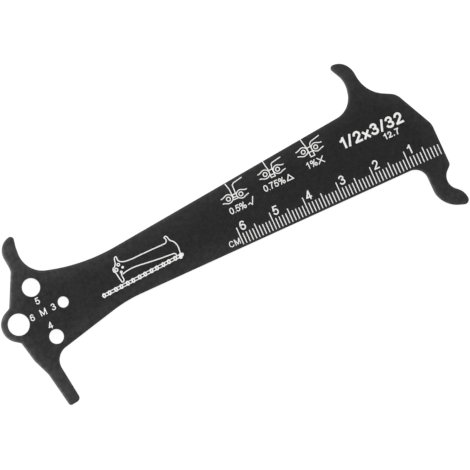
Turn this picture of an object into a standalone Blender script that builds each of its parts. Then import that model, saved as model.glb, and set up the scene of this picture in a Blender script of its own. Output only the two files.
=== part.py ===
"""Chain wear gauge for bicycle chains: one flat plate, blanked from steel sheet.

The plate lies on its back with the printed face up. Its long straight edge, the
scale edge, runs along X. The lower side measures wear: the hook at the right end
bears on a roller, and the tapered tooth at the left end drops between two rollers
nine pitches away, deeper the more the chain has stretched. The two horns on the
upper side hold the ends of an open chain together. The four holes at the left end
are a bolt gauge, and the largest has a rounded lobe of its own round it.
"""
import math

import bmesh
import bpy
from mathutils import Vector

MM = 0.001

# All sizes are in millimetres. A drawing of the plate has two datums: x is measured
# from the hook's working face, to the right, and y from the scale edge, upwards.
# What belongs to the left end is measured from the tooth's shoulder instead, and
# the working span ties the two ends together.

# Sheet
PLATE_THICKNESS = 2.0
EDGE_ROUND = 0.5
CHORD_ERROR = 0.006
BEVEL_STEPS = 2

# Working span, from the hook's face to the tooth's shoulder: a whole number of
# chain pitches, stretched by the wear at which the tooth drops in all the way
CHAIN_PITCH = 12.7
PITCHES_SPANNED = 9
FULL_WEAR = 0.01

# Lower hook, below the scale edge at the right end
HOOK_DEPTH = 15.0
HOOK_ROOT_RADIUS = 3.6
FACE_END_RISE = 6.5
FACE_END_RADIUS = 5.3
HEEL_SETBACK = 1.6
HEEL_RISE = 2.3
HEEL_RADIUS = 7.3
HOOK_REACH = 8.0
HOOK_TIP_RADIUS = 1.3
HOOK_BACK_SETBACK = 0.5
HOOK_BACK_RISE = 4.0
HOOK_BACK_RADIUS = 4.3
THROAT_X = 2.8
THROAT_DEPTH = 6.6
THROAT_RADIUS = 3.6

# Nose, the right end of the plate, where the scale has its zero
NOSE_X = 7.0
NOSE_FOOT_DEPTH = 2.8
NOSE_FOOT_RADIUS = 1.5
NOSE_TOP_HEIGHT = 9.2
NOSE_TOP_RADIUS = 4.5
BROW_SETBACK = 5.4
BROW_HEIGHT = 20.5
BROW_RADIUS = 4.4

# Right horn, which curls in over the beam
RIGHT_HORN_HEIGHT = 34.8
RIGHT_HORN_BACK_ROOT_X = -5.7
RIGHT_HORN_BACK_ROOT_RISE = 3.9
RIGHT_HORN_BACK_ROOT_RADIUS = 8.8
RIGHT_HORN_BACK_X = -6.5
RIGHT_HORN_BACK_DROP = 3.1
RIGHT_HORN_BACK_RADIUS = 5.6
RIGHT_HORN_CROWN_X = -8.6
RIGHT_HORN_CROWN_RADIUS = 4.3
RIGHT_HORN_TIP_X = -12.3
RIGHT_HORN_TIP_RADIUS = 0.9
RIGHT_HORN_FRONT_X = -9.6
RIGHT_HORN_FRONT_DROP = 5.4
RIGHT_HORN_FRONT_RADIUS = 6.9
RIGHT_HORN_ROOT_X = -11.2
RIGHT_HORN_ROOT_RADIUS = 6.3

# Beam, between a narrow waist at the left and a wide head at the right
HEAD_WIDTH = 21.7
WAIST_WIDTH = 13.6
WAIST_X = 21.2
WAIST_RADIUS = 50.0
TAPER_X = 27.5
TAPER_RADIUS = 39.0

# Left horn
LEFT_HORN_HEIGHT = 29.0
LEFT_HORN_ROOT_X = 5.6
LEFT_HORN_ROOT_HEIGHT = 18.0
LEFT_HORN_ROOT_RADIUS = 7.0
LEFT_HORN_FRONT_X = 6.1
LEFT_HORN_FRONT_DROP = 3.5
LEFT_HORN_FRONT_RADIUS = 6.0
LEFT_HORN_TIP_X = 6.8
LEFT_HORN_TIP_RADIUS = 0.9
LEFT_HORN_CROWN_X = 3.6
LEFT_HORN_CROWN_DROP = 0.6
LEFT_HORN_CROWN_RADIUS = 4.1
LEFT_HORN_BACK_X = 1.8
LEFT_HORN_BACK_DROP = 3.6
LEFT_HORN_BACK_RADIUS = 4.6
LEFT_HORN_NECK_X = 2.3
LEFT_HORN_NECK_HEIGHT = 20.3
LEFT_HORN_NECK_RADIUS = 3.3

# Bolt gauge: thread sizes, with the slip that lets a bolt pass, and hole centres
BOLT_SLIP = 0.15
M6_BOLT = 6.0
M5_BOLT = 5.0
M4_BOLT = 4.0
M3_BOLT = 3.0
M6_X = -1.8
M6_HEIGHT = 6.1
M5_X = 5.4
M5_HEIGHT = 13.9
M4_X = 6.2
M4_HEIGHT = -1.05
M3_X = 11.7
M3_HEIGHT = 6.7

# Lobe round the largest hole, with a small notch where it leaves the plate's side
LOBE_WALL = 1.7
NOTCH_STANDOFF = 0.3
UPPER_NOTCH_ANGLE = 96.0
LOWER_NOTCH_ANGLE = 254.0
NOTCH_RADIUS = 0.8

# Wear tooth, below the scale edge at the left end. Its outer side is a wedge.
TOOTH_DEPTH = 19.7
FLANK_X = -2.0
FLANK_DEPTH = 4.5
FLANK_RADIUS = 8.8
SHOULDER_DEPTH = 9.5
SHOULDER_RADIUS = 6.4
WEDGE_SETBACK = 1.8
TOOTH_TIP_WIDTH = 3.4
TOOTH_TIP_RISE = 0.4
TOOTH_HEEL_RADIUS = 0.8
TOOTH_TOE_RADIUS = 1.2
TOOTH_ROOT_X = 3.5
TOOTH_ROOT_DEPTH = 5.6
TOOTH_ROOT_RADIUS = 4.3


def working_span():
    """Distance from the hook's working face to the tooth's shoulder."""
    return CHAIN_PITCH * PITCHES_SPANNED * (1.0 + FULL_WEAR)


def left_end(x, y):
    """A point of the left end, moved from the shoulder's datum to the hook's."""
    return Vector((x - working_span(), y))


def polar(centre, radius, degrees):
    """The point at a radius and an angle round a centre."""
    angle = math.radians(degrees)
    return centre + radius * Vector((math.cos(angle), math.sin(angle)))


def tangent_from(point, centre, radius, side):
    """Direction of the line from a point that grazes a circle on one side of it."""
    towards = centre - point
    lean = math.asin(radius / towards.length)
    angle = math.atan2(towards.y, towards.x) + side * lean
    return Vector((math.cos(angle), math.sin(angle)))


def tangents_meet(first, second, centre, radius):
    """The corner where the tangents to a circle from two points meet beyond it."""
    along = tangent_from(first, centre, radius, -1)
    back = tangent_from(second, centre, radius, 1)
    gap = second - first
    run = (gap.x * back.y - gap.y * back.x) / (along.x * back.y - along.y * back.x)
    return first + along * run


def plate_corners():
    """Corners of the plate's outline with their radii, anticlockwise from the taper."""
    hook_foot = -HOOK_DEPTH
    brow_x = NOSE_X - BROW_SETBACK
    horn = RIGHT_HORN_HEIGHT
    left_horn = LEFT_HORN_HEIGHT
    lobe_centre = left_end(M6_X, M6_HEIGHT)
    lobe_radius = (M6_BOLT + BOLT_SLIP) / 2 + LOBE_WALL
    upper_notch = polar(lobe_centre, lobe_radius + NOTCH_STANDOFF, UPPER_NOTCH_ANGLE)
    lower_notch = polar(lobe_centre, lobe_radius + NOTCH_STANDOFF, LOWER_NOTCH_ANGLE)
    lobe_corner = tangents_meet(upper_notch, lower_notch, lobe_centre, lobe_radius)
    return [
        # scale edge, then the hook: working face, heel, tip, back and throat
        (left_end(TAPER_X, 0.0), TAPER_RADIUS),
        (Vector((0.0, 0.0)), HOOK_ROOT_RADIUS),
        (Vector((0.0, hook_foot + FACE_END_RISE)), FACE_END_RADIUS),
        (Vector((HEEL_SETBACK, hook_foot + HEEL_RISE)), HEEL_RADIUS),
        (Vector((HOOK_REACH, hook_foot)), HOOK_TIP_RADIUS),
        (Vector((HOOK_REACH - HOOK_BACK_SETBACK, hook_foot + HOOK_BACK_RISE)), HOOK_BACK_RADIUS),
        (Vector((THROAT_X, -THROAT_DEPTH)), THROAT_RADIUS),
        # nose, and the brow over it
        (Vector((NOSE_X, -NOSE_FOOT_DEPTH)), NOSE_FOOT_RADIUS),
        (Vector((NOSE_X, NOSE_TOP_HEIGHT)), NOSE_TOP_RADIUS),
        (Vector((brow_x, BROW_HEIGHT)), BROW_RADIUS),
        # right horn: up its back, over the crown and down its front
        (Vector((RIGHT_HORN_BACK_ROOT_X, BROW_HEIGHT + RIGHT_HORN_BACK_ROOT_RISE)),
         RIGHT_HORN_BACK_ROOT_RADIUS),
        (Vector((RIGHT_HORN_BACK_X, horn - RIGHT_HORN_BACK_DROP)), RIGHT_HORN_BACK_RADIUS),
        (Vector((RIGHT_HORN_CROWN_X, horn)), RIGHT_HORN_CROWN_RADIUS),
        (Vector((RIGHT_HORN_TIP_X, horn)), RIGHT_HORN_TIP_RADIUS),
        (Vector((RIGHT_HORN_FRONT_X, horn - RIGHT_HORN_FRONT_DROP)), RIGHT_HORN_FRONT_RADIUS),
        (Vector((RIGHT_HORN_ROOT_X, HEAD_WIDTH)), RIGHT_HORN_ROOT_RADIUS),
        # beam's upper edge down to the waist, then the left horn
        (left_end(WAIST_X, WAIST_WIDTH), WAIST_RADIUS),
        (left_end(LEFT_HORN_ROOT_X, LEFT_HORN_ROOT_HEIGHT), LEFT_HORN_ROOT_RADIUS),
        (left_end(LEFT_HORN_FRONT_X, left_horn - LEFT_HORN_FRONT_DROP), LEFT_HORN_FRONT_RADIUS),
        (left_end(LEFT_HORN_TIP_X, left_horn), LEFT_HORN_TIP_RADIUS),
        (left_end(LEFT_HORN_CROWN_X, left_horn - LEFT_HORN_CROWN_DROP), LEFT_HORN_CROWN_RADIUS),
        (left_end(LEFT_HORN_BACK_X, left_horn - LEFT_HORN_BACK_DROP), LEFT_HORN_BACK_RADIUS),
        (left_end(LEFT_HORN_NECK_X, LEFT_HORN_NECK_HEIGHT), LEFT_HORN_NECK_RADIUS),
        # lobe between its two notches
        (upper_notch, NOTCH_RADIUS),
        (lobe_corner, lobe_radius),
        (lower_notch, NOTCH_RADIUS),
        # flank, shoulder and tooth, and the root where the beam's lower side starts
        (left_end(FLANK_X, -FLANK_DEPTH), FLANK_RADIUS),
        (left_end(0.0, -SHOULDER_DEPTH), SHOULDER_RADIUS),
        (left_end(WEDGE_SETBACK, -TOOTH_DEPTH), TOOTH_HEEL_RADIUS),
        (left_end(WEDGE_SETBACK + TOOTH_TIP_WIDTH, TOOTH_TIP_RISE - TOOTH_DEPTH), TOOTH_TOE_RADIUS),
        (left_end(TOOTH_ROOT_X, -TOOTH_ROOT_DEPTH), TOOTH_ROOT_RADIUS),
    ]


def bolt_holes():
    """Centre and diameter of each bolt-gauge hole."""
    return [
        (left_end(M6_X, M6_HEIGHT), M6_BOLT + BOLT_SLIP),
        (left_end(M5_X, M5_HEIGHT), M5_BOLT + BOLT_SLIP),
        (left_end(M4_X, M4_HEIGHT), M4_BOLT + BOLT_SLIP),
        (left_end(M3_X, M3_HEIGHT), M3_BOLT + BOLT_SLIP),
    ]


def arc_steps(radius, sweep):
    """Number of chords that keep an arc within the chord error."""
    chord_angle = 2 * math.acos(max(0.0, 1.0 - CHORD_ERROR / radius))
    return max(2, math.ceil(abs(sweep) / chord_angle))


def rounded_outline(corners):
    """Round each corner of a closed polygon with an arc tangent to both its sides.

    An arc of radius r in a corner of half angle h starts r / tan(h) before the corner
    and has its centre on the bisector, r / sin(h) away. Where two arcs would meet on
    one side, both radii shrink in proportion.
    """
    count = len(corners)
    places = [place for place, radius in corners]
    half_angles = []
    for i in range(count):
        before = places[i - 1] - places[i]
        after = places[(i + 1) % count] - places[i]
        half_angles.append(before.angle(after) / 2)
    setbacks = [radius / math.tan(half) for (place, radius), half in zip(corners, half_angles)]
    sides = [(places[(i + 1) % count] - places[i]).length for i in range(count)]
    room = [side / (setbacks[i] + setbacks[(i + 1) % count]) for i, side in enumerate(sides)]
    points = []
    for i in range(count):
        setback = setbacks[i] * min(1.0, room[i - 1], room[i])
        radius = setback * math.tan(half_angles[i])
        before = (places[i - 1] - places[i]).normalized()
        after = (places[(i + 1) % count] - places[i]).normalized()
        centre = places[i] + (before + after).normalized() * radius / math.sin(half_angles[i])
        start = places[i] + before * setback - centre
        end = places[i] + after * setback - centre
        sweep = start.angle_signed(end)
        steps = arc_steps(radius, sweep)
        first = math.atan2(start.y, start.x)
        for step in range(steps + 1):
            angle = math.degrees(first - sweep * step / steps)
            points.append(polar(centre, radius, angle))
    return points


def circle(centre, diameter):
    """Points round a hole."""
    radius = diameter / 2
    steps = arc_steps(radius, 2 * math.pi)
    return [polar(centre, radius, 360.0 * step / steps) for step in range(steps)]


def add_loop(curve, points, middle):
    """Add one closed loop to a flat curve, centred on the plate's middle."""
    spline = curve.splines.new("POLY")
    spline.points.add(len(points) - 1)
    for target, point in zip(spline.points, points):
        place = (point - middle) * MM
        target.co = (place.x, place.y, 0.0, 1.0)
    spline.use_cyclic_u = True


def black_coat():
    """Matt black coating over the whole plate."""
    material = bpy.data.materials.new("black_coat")
    material.use_nodes = True
    shader = material.node_tree.nodes["Principled BSDF"]
    shader.inputs["Base Color"].default_value = (0.028, 0.028, 0.029, 1.0)
    shader.inputs["Roughness"].default_value = 0.55
    shader.inputs["Metallic"].default_value = 0.0
    return material


def build_plate(collection):
    """Blank the plate from sheet: outline and holes, with both edges rolled round."""
    outline = rounded_outline(plate_corners())
    low = Vector((min(p.x for p in outline), min(p.y for p in outline)))
    high = Vector((max(p.x for p in outline), max(p.y for p in outline)))
    middle = (low + high) / 2

    curve = bpy.data.curves.new("plate_outline", "CURVE")
    curve.dimensions = "2D"
    curve.fill_mode = "BOTH"
    curve.extrude = (PLATE_THICKNESS / 2 - EDGE_ROUND) * MM
    curve.bevel_depth = EDGE_ROUND * MM
    curve.bevel_resolution = BEVEL_STEPS - 1
    curve.offset = -EDGE_ROUND * MM
    add_loop(curve, outline, middle)
    for centre, diameter in bolt_holes():
        add_loop(curve, circle(centre, diameter), middle)

    flat = bpy.data.objects.new("plate_outline", curve)
    collection.objects.link(flat)
    bpy.context.view_layer.update()
    mesh = bpy.data.meshes.new_from_object(flat.evaluated_get(bpy.context.evaluated_depsgraph_get()))
    bpy.data.objects.remove(flat)
    bpy.data.curves.remove(curve)

    # The curve's flat caps come loose from its rounded sides, so they are welded
    body = bmesh.new()
    body.from_mesh(mesh)
    bmesh.ops.remove_doubles(body, verts=body.verts, dist=0.002 * MM)
    bmesh.ops.recalc_face_normals(body, faces=body.faces)
    bmesh.ops.translate(body, verts=body.verts, vec=(0.0, 0.0, PLATE_THICKNESS / 2 * MM))
    body.to_mesh(mesh)
    body.free()
    mesh.name = "gauge_plate"
    mesh.materials.clear()
    mesh.materials.append(black_coat())
    mesh.shade_smooth()
    mesh.set_sharp_from_angle(angle=math.radians(35.0))

    plate = bpy.data.objects.new("gauge_plate", mesh)
    collection.objects.link(plate)
    return plate


def main():
    """Clear the scene and build the gauge."""
    for old in list(bpy.data.objects):
        bpy.data.objects.remove(old)
    parts = bpy.data.collections.new("chain_wear_gauge")
    bpy.context.scene.collection.children.link(parts)
    build_plate(parts)


main()
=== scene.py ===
# %% [markdown]
# # A chain wear gauge
# The object is one flat steel plate, blanked from sheet and coated matt black. Its
# face carries thin white printing: a centimetre scale, bolt sizes, three wear marks
# and a small sketch of the gauge on a chain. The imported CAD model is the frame:
# everything made here lies in its space, in metres, with the plate on its back.

import bpy
import numpy as np
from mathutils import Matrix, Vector
from mathutils.geometry import delaunay_2d_cdt


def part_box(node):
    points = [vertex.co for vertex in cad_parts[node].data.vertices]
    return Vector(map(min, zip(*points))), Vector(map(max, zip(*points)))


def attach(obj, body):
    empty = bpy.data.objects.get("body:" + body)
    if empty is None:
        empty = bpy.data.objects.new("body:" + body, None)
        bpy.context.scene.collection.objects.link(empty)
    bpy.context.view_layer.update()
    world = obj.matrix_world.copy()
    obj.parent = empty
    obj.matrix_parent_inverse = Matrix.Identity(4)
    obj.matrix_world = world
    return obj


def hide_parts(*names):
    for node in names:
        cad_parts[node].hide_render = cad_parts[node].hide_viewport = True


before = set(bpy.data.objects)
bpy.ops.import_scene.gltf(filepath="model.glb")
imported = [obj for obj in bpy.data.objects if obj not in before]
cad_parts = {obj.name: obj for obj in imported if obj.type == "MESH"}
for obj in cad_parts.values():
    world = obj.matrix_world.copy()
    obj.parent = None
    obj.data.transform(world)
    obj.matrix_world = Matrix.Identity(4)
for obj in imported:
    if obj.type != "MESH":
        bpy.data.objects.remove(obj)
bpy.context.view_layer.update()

MM = 0.001
PLATE_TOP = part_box("gauge_plate")[1].z / MM

# %% [markdown]
# ## From arrays to a mesh
# Every piece below is worked out as arrays of places and faces, in millimetres. It
# could be pulled out of Blender's own shapes, but arrays keep the dimensions readable
# and every edge exact. One helper turns them into an object at the origin.


# %% Mesh helper
def make_piece(name, places, faces, finish):
    """Put places (n by 3, in mm) and faces (lists of corner numbers) into a mesh.

    Each place is multiplied by 0.001 to give metres. The object stays at the origin.
    """
    mesh = bpy.data.meshes.new(name)
    mesh.from_pydata(places * MM, [], faces)
    mesh.validate()
    mesh.materials.append(finish)
    mesh.shade_smooth()
    piece = bpy.data.objects.new(name, mesh)
    bpy.context.scene.collection.objects.link(piece)
    print(f"{name}: {len(mesh.vertices)} points, {len(mesh.polygons)} faces")
    return piece


def grid_faces(along, across, closed=True, tube=False):
    """Four-cornered faces of a grid of along rows by across columns, as an array.

    Corner (i, j) has the number i * across + j. Rows wrap round when closed is true,
    and columns when tube is. The faces turn anticlockwise when seen with the rows
    going right, columns up.
    """
    i = np.arange(along if closed else along - 1)[:, None]
    j = np.arange(across if tube else across - 1)[None, :]
    ahead, up = (i + 1) % along, (j + 1) % across
    corners = [i * across + j, ahead * across + j, ahead * across + up, i * across + up]
    return np.stack(corners, axis=-1).reshape(-1, 4)


print("a closed ring of 3 by 2 corners has", len(grid_faces(3, 2)), "faces")

# %% [markdown]
# ## The plate's outline
# The real outline is cut in one blow by a punch that was ground to straight lines
# and arcs. So here it is a polygon whose corners are each rounded by an arc that
# grazes both sides. A curve through many points could copy it too, but would lose
# the true arcs that the chain bears on.

# %% Corners
# Each row is a corner of the polygon: x, y and the radius that rounds it, in mm.
PLATE_CORNERS = np.array([
    # scale edge and lower hook
    (-30.808, -7.593, 39.0), (57.135, -7.593, 3.6), (57.135, -16.093, 5.3),
    (58.735, -20.293, 7.3), (65.135, -22.593, 1.3), (64.635, -18.593, 4.3),
    (59.935, -14.193, 3.6),
    # nose and brow
    (64.135, -10.393, 1.5), (64.135, 1.607, 4.5), (58.735, 12.907, 4.4),
    # right horn
    (51.435, 16.807, 8.8), (50.635, 24.107, 5.6), (48.535, 27.207, 4.3),
    (44.835, 27.207, 0.9), (47.535, 21.807, 6.9), (45.935, 14.107, 6.3),
    # waist and left horn
    (-37.108, 6.007, 50.0), (-52.708, 10.407, 7.0), (-52.208, 17.907, 6.0),
    (-51.508, 21.407, 0.9), (-54.708, 20.807, 4.1), (-56.508, 17.807, 4.6),
    (-56.008, 12.707, 3.3),
    # lobe round the largest hole, between two small notches
    (-60.639, 3.554, 0.8), (-69.398, -0.681, 4.775), (-61.507, -6.372, 0.8),
    # flank, shoulder and wear tooth
    (-60.308, -12.093, 8.8), (-58.308, -17.093, 6.4), (-56.508, -27.293, 0.8),
    (-53.108, -26.893, 1.2), (-54.808, -13.193, 4.3),
])
print(len(PLATE_CORNERS), "corners, radii from", PLATE_CORNERS[:, 2].min(), "to", PLATE_CORNERS[:, 2].max())

# %% [markdown]
# A Bevel on the polygon's corners would need one width for all of them or a weight
# for each. Here every corner has its own radius in millimetres, as on a drawing, and
# the arcs are set out from the geometry of a circle that grazes two lines.

# %% Rounded outline
ARC_STEPS = 22
# points nearer to each other than this, in mm, count as one
SAME_PLACE = 1e-4


def unit(vectors):
    """Each vector over its length."""
    return vectors / np.linalg.norm(vectors, axis=-1, keepdims=True)


def rounded_polygon(corners, steps):
    """Outline of a polygon with each corner rounded by an arc, as one closed path.

    In a corner of half angle h, an arc of radius r starts r / tan(h) before the corner
    and its centre lies r / sin(h) away on the bisector. The arc is a function of two
    parameters, the corner and the share of its turn, so all arcs come from one grid.
    Where two arcs would overlap on a side, both radii shrink in proportion.
    """
    place, radius = corners[:, :2], corners[:, 2]
    to_last = unit(np.roll(place, 1, axis=0) - place)
    to_next = unit(np.roll(place, -1, axis=0) - place)
    side = np.linalg.norm(np.roll(place, -1, axis=0) - place, axis=1)
    half = np.arccos(np.clip((to_last * to_next).sum(1), -1, 1)) / 2
    setback = radius / np.tan(half)
    room = side / (setback + np.roll(setback, -1))
    setback = setback * np.minimum(1, np.minimum(room, np.roll(room, 1)))
    reach = setback / np.cos(half)
    centre = place + unit(to_last + to_next) * reach[:, None]
    start = place + to_last * setback[:, None] - centre
    end = place + to_next * setback[:, None] - centre
    cross = start[:, 0] * end[:, 1] - start[:, 1] * end[:, 0]
    sweep = np.arctan2(cross, (start * end).sum(1))
    turn = sweep[:, None] * np.linspace(0, 1, steps + 1)[None, :]
    x = centre[:, :1] + start[:, :1] * np.cos(turn) - start[:, 1:] * np.sin(turn)
    y = centre[:, 1:] + start[:, :1] * np.sin(turn) + start[:, 1:] * np.cos(turn)
    path = np.stack([x, y], axis=-1).reshape(-1, 2)
    step = np.linalg.norm(path - np.roll(path, 1, axis=0), axis=1)
    return path[step > SAME_PLACE]


outline = rounded_polygon(PLATE_CORNERS, ARC_STEPS)
print("outline:", len(outline), "points, reach in mm", np.ptp(outline, axis=0).round(3))

# %% [markdown]
# ## Holes
# Four holes take the common metric bolts, each a little wider than its thread. They
# could be cut with a Boolean, which leaves its own choice of corners. Here a hole is
# a circle that runs the other way round, so that the metal is always on the left of
# a path. Long sides get more points, so that the face can bend down along them.

# %% Hole and path points
# Each row is a hole: x, y and diameter, in mm.
BOLT_HOLES = np.array([
    (-60.108, -1.493, 6.15), (-52.908, 6.307, 5.15),
    (-52.108, -8.643, 4.15), (-46.608, -0.893, 3.15),
])
EDGE_STEP = 1.5


def in_steps(path, longest, closed=False):
    """Path with each side cut into equal parts: its length over the longest, rounded up."""
    path = np.asarray(path, float)
    start = path if closed else path[:-1]
    side = np.roll(path, -1, axis=0)[:len(start)] - start
    parts = np.ceil(np.linalg.norm(side, axis=1) / longest).astype(int)
    owner = np.repeat(np.arange(len(start)), parts)
    step = np.arange(len(owner)) - np.repeat(np.cumsum(parts) - parts, parts)
    cut = start[owner] + side[owner] * (step / parts[owner])[:, None]
    return cut if closed else np.concatenate([cut, path[-1:]])


def circle_path(centre, diameter, steps, clockwise=False):
    """Closed circle: the centre plus half the diameter times (cos, sin) of the angle."""
    angle = np.linspace(0, 2 * np.pi, steps, endpoint=False)
    angle = -angle if clockwise else angle
    return np.asarray(centre) + diameter / 2 * np.stack([np.cos(angle), np.sin(angle)], axis=-1)


edge_path = in_steps(outline, EDGE_STEP, closed=True)
print(len(BOLT_HOLES), "holes; in steps of", EDGE_STEP, "mm the outline has", len(edge_path), "points")

# %% [markdown]
# ## Blanked edges
# A punch drags the sheet's upper edge down before it cuts, which leaves a soft roll
# there, then a smooth band and a slightly torn one below it. Tumbling takes the burr
# off the lower edge, and the coating softens all of it. A Bevel modifier would give
# the same curve on both edges, so the edge is drawn as a profile instead: how far it
# lies inside the outline at each height. Beyond the outline's roll the face still
# falls away gently for a millimetre: a crown that follows the distance from the edge.

# %% Edge profile
# the coat stays this much under the frame's top, for the ink, and inside its outline
COAT_TOP = PLATE_TOP - 0.02
OUTLINE_GAP = 0.008
FOOT_STEPS = 6
BAND_STEPS = 5
ROLL_STEPS = 9
# the torn band's top as a share of the thickness, its hollow, and the flats' first step
BAND_TOP = 0.55
BAND_HOLLOW = 0.02
LEAD_IN = 0.05
CROWN_WIDTH = 1.5
CROWN_DROP = 0.2
# roll width, roll depth, foot radius in mm, and whether the crown goes on from it
OUTER_ROLL = (0.62, 0.38, 0.3, 1.0)
HOLE_ROLL = (0.22, 0.2, 0.15, 0.0)


def crown(distance):
    """Fall of the face near the outline: drop * (1 - distance / width) squared."""
    return CROWN_DROP * np.clip(1 - distance / CROWN_WIDTH, 0, 1) ** 2


def edge_profile(roll_width, roll_depth, foot, crowned):
    """Inset and height of the blanked edge, from the back face up to the front face.

    The foot is a quarter circle. The torn band is a shallow cosine hollow. The roll is
    a quarter of an ellipse: inset is width * (1 - cos a), height is top - depth *
    (1 - sin a), less the crown. A last point on each flat leads into its shading.
    """
    quarter = np.linspace(0, np.pi / 2, ROLL_STEPS)
    foot_turn = np.linspace(0, np.pi / 2, FOOT_STEPS)
    low_band = np.linspace(foot, BAND_TOP * COAT_TOP, BAND_STEPS)[1:-1]
    hollow = BAND_HOLLOW * (1 - np.cos(2 * np.pi * np.linspace(0, 1, BAND_STEPS)[1:-1])) / 2
    inset = np.concatenate([
        [foot + LEAD_IN], foot * (1 - np.sin(foot_turn)), hollow,
        roll_width * (1 - np.cos(quarter)), [roll_width + LEAD_IN],
    ]) + OUTLINE_GAP
    height = np.concatenate([
        [0.0], foot * (1 - np.cos(foot_turn)), low_band,
        COAT_TOP - roll_depth * (1 - np.sin(quarter)), [COAT_TOP],
    ])
    height[-ROLL_STEPS - 1:] -= crowned * crown(inset[-ROLL_STEPS - 1:])
    return inset, height


outer_inset, outer_height = edge_profile(*OUTER_ROLL)
print("edge profile:", len(outer_inset), "points, its roll starts",
      outer_height[-ROLL_STEPS - 1].round(2), "mm up")

# %% [markdown]
# The profile is carried round the outline and round each hole. Moving a path inwards
# by a distance is more than scaling it: each point moves along the line that halves
# its corner, far enough for both sides to shift by the same amount.

# %% Carrying a profile


def inward(path, closed=True, least=0.0):
    """Vector at each point that moves a path to its left by one unit.

    It is the sum of the two sides' left normals over one plus their dot product, so
    that both sides move by exactly one. An open path has one side at each end. A
    least value for the divisor keeps a sharp corner from reaching far.
    """
    ahead = unit(np.roll(path, -1, axis=0) - path)
    left = np.stack([-ahead[:, 1], ahead[:, 0]], axis=-1)
    if not closed:
        left[-1] = left[-2]
    before = np.roll(left, 1, axis=0)
    if not closed:
        before[0] = left[0]
    return (left + before) / np.maximum(least, 1 + (left * before).sum(1))[:, None]


def carry(path, way, offset, height):
    """Grid of places: each point plus its way times each offset, at each height."""
    flat = path[:, None, :] + way[:, None, :] * offset[None, :, None]
    rise = np.broadcast_to(height[None, :, None], (*flat.shape[:2], 1))
    return np.concatenate([flat, rise], axis=-1)


wall = carry(edge_path, inward(edge_path), outer_inset, outer_height)
print("wall round the outline:", wall.shape[:2], "places")

# %% [markdown]
# ## Where a place lies
# The crown, the flats and the print all ask the same two questions of a place in
# plan: how far it is from an outline, and on which side. Blender could answer with a
# ray cast or a search tree, one place at a time. Two short sums over whole arrays
# answer for thousands of places at once.

# %% Distance and inside
# how many places are measured at a time, to spare the memory
AT_ONCE = 3000


def sides_of(paths):
    """Start and end of every side of some closed paths."""
    return np.concatenate(paths), np.concatenate([np.roll(path, -1, axis=0) for path in paths])


def distance_to(places, paths):
    """Distance in plan from each place to the nearest side of some closed paths.

    A place's foot on a side is the side's start plus its share t of the side, where t
    is the dot product with the side over the side's squared length, kept in 0 to 1.
    """
    start, end = sides_of(paths)
    side = end - start
    length = (side * side).sum(-1)
    found = []
    for some in np.array_split(places, len(places) // AT_ONCE + 1):
        x = some[:, :1] - start[:, 0]
        y = some[:, 1:2] - start[:, 1]
        share = np.clip((x * side[:, 0] + y * side[:, 1]) / length, 0, 1)
        found.append(np.hypot(x - share * side[:, 0], y - share * side[:, 1]).min(1))
    return np.concatenate(found)


def inside(places, paths):
    """True where a line going right from a place crosses the paths an odd number of times."""
    start, end = sides_of(paths)
    x, y = places[:, :1], places[:, 1:]
    spans = (start[:, 1] > y) != (end[:, 1] > y)
    rise = np.where(start[:, 1] == end[:, 1], 1.0, end[:, 1] - start[:, 1])
    meets = start[:, 0] + (y - start[:, 1]) / rise * (end[:, 0] - start[:, 0])
    return (spans & (x < meets)).sum(1) % 2 == 1


middle = np.zeros((1, 2))
print("the middle is", distance_to(middle, [outline]).round(2), "mm from the edge, inside:",
      inside(middle, [outline]))

# %% [markdown]
# ## The two flats
# The flats could each be one many-cornered face, but a mesh of even triangles lets
# the coating's attributes vary over it, and rows of places beside the edge let the
# face bend down there. Blender's own triangulation joins the places. It fills the
# holes and the bays of the outline too, so only triangles whose middles lie on metal
# are kept.

# %% Flat maker
# how far a grid starts from the edge, as a share of its spacing
GRID_MARGIN = 0.45
# the longest step along a row, and how much nearer to the edge a place may really lie
ROW_STEP = 1.0
ROW_SLACK = 0.02
# places nearer than this are welded, and a triangle's least height over its longest side
WELD = 1e-7
FLATTEST = 1e-5


def flat_grid(paths, spacing):
    """Places on a triangular grid that lie well inside the paths."""
    low, high = np.concatenate(paths).min(0), np.concatenate(paths).max(0)
    rows = np.arange(low[1], high[1], spacing * np.sqrt(0.75))
    columns = np.arange(low[0], high[0], spacing)
    x = columns[None, :] + (np.arange(len(rows)) % 2)[:, None] * spacing / 2
    y = np.broadcast_to(rows[:, None], x.shape)
    places = np.stack([x, y], axis=-1).reshape(-1, 2)
    places = places[inside(places, paths)]
    return places[distance_to(places, paths) > GRID_MARGIN * spacing]


def crown_rows(paths, insets, cell):
    """Places in rows beside the first path, for the crown's curve.

    Each row is the path moved inwards. A place stays where it really is that far from
    the path, and one place is kept in each square cell, so that rows which meet in
    slim forms don't crowd.
    """
    edge = in_steps(paths[0], ROW_STEP, closed=True)
    rows = (edge[None] + inward(edge)[None] * np.array(insets)[:, None, None]).reshape(-1, 2)
    apart = distance_to(rows, [paths[0]])
    true = apart > np.repeat(insets, len(edge)) - ROW_SLACK
    rows = rows[true & (distance_to(rows, paths[1:]) > cell)]
    rows = rows[inside(rows, paths)]
    return rows[np.unique(np.round(rows / cell), axis=0, return_index=True)[1]]


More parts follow.
